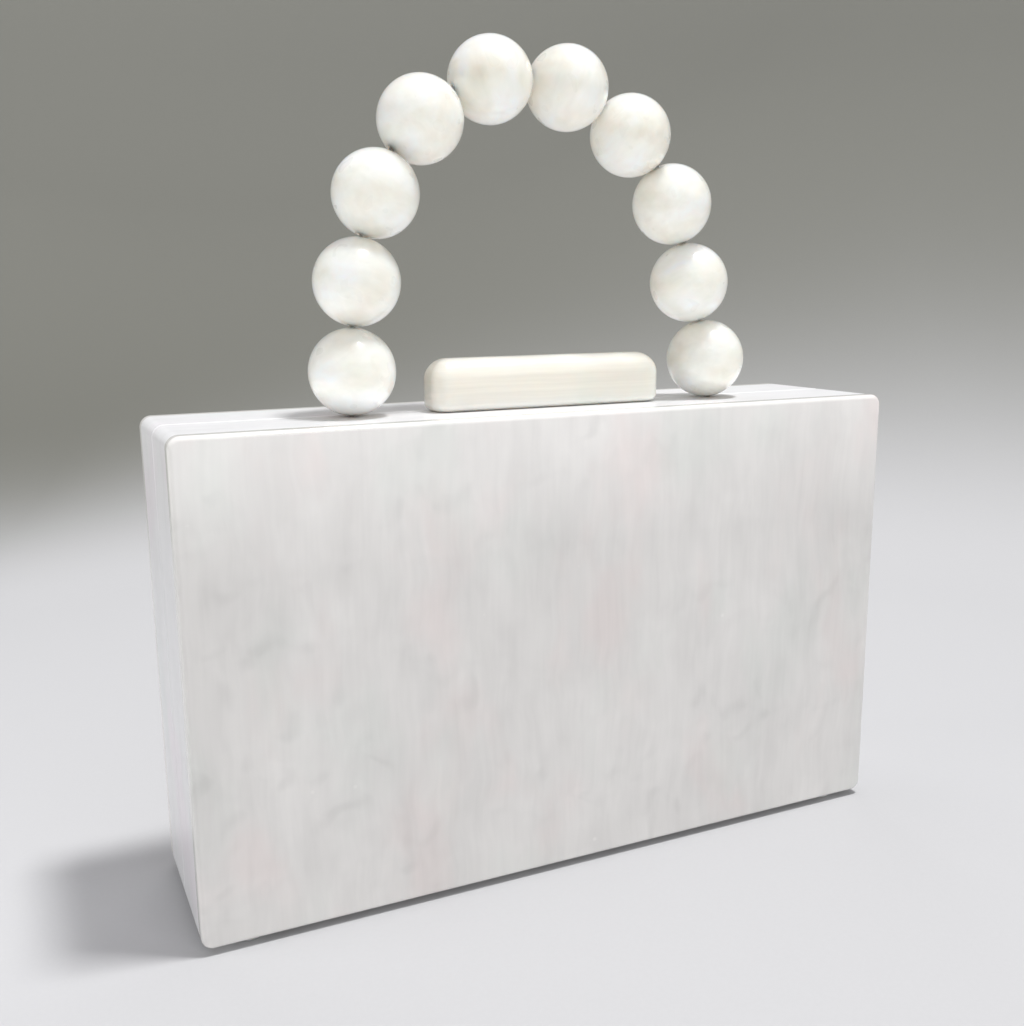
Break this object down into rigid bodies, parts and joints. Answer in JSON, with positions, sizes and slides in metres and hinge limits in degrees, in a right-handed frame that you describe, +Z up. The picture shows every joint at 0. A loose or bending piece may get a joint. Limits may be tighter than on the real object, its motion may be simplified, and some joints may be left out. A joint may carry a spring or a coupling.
{
  "type": "wristlet",
  "caption": "Hard pearl-acrylic box clutch: two half shells hinged along the bottom, a rounded clasp bar on top and an arched handle of large pearl beads on a wire.",
  "frame": {"origin": "on the surface that the pads stand on, below the middle of the split between the two halves", "axes": "+X to the right along the width, -Y out of the front panel, +Z up through the handle"},
  "size_m": [0.2, 0.05, 0.2174],
  "materials": {
    "pearl_panels": "polished cast acrylic with a pearl marble",
    "pearl_frames": "polished cast acrylic, cut from the same pearl sheet",
    "pearl_bar": "polished cream pearl acrylic",
    "pearl_beads": "polished moulded pearl acrylic",
    "hinge_nickel": "nickel-plated sheet steel",
    "wire_steel": "bright drawn steel wire",
    "clear_pads": "clear soft bumper"
  },
  "bodies": {
    "front_half": {"front_panel": "pearl_panels", "front_frame": "pearl_frames", "front_pad_left": "clear_pads", "front_pad_right": "clear_pads", "hinge_left_front_leaf": "hinge_nickel", "hinge_left_pin": "hinge_nickel", "hinge_right_front_leaf": "hinge_nickel", "hinge_right_pin": "hinge_nickel", "clasp_bar": "pearl_bar", "catch_tongue": "hinge_nickel", "bead_01": "pearl_beads", "bead_02": "pearl_beads", "bead_03": "pearl_beads", "bead_04": "pearl_beads", "bead_05": "pearl_beads", "bead_06": "pearl_beads", "bead_07": "pearl_beads", "bead_08": "pearl_beads", "bead_09": "pearl_beads", "bead_10": "pearl_beads", "bead_wire": "wire_steel", "wire_crimp_left": "wire_steel", "wire_crimp_right": "wire_steel"},
    "rear_half": {"rear_panel": "pearl_panels", "rear_frame": "pearl_frames", "rear_pad_left": "clear_pads", "rear_pad_right": "clear_pads", "hinge_left_rear_leaf": "hinge_nickel", "hinge_right_rear_leaf": "hinge_nickel"}
  },
  "joints": [
    {"name": "case_hinge", "type": "hinge", "parent": "front_half", "child": "rear_half", "pos_m": [0, 0, 0.0015], "axis": [-1, 0, 0], "range_deg": [0, 110]}
  ]
}
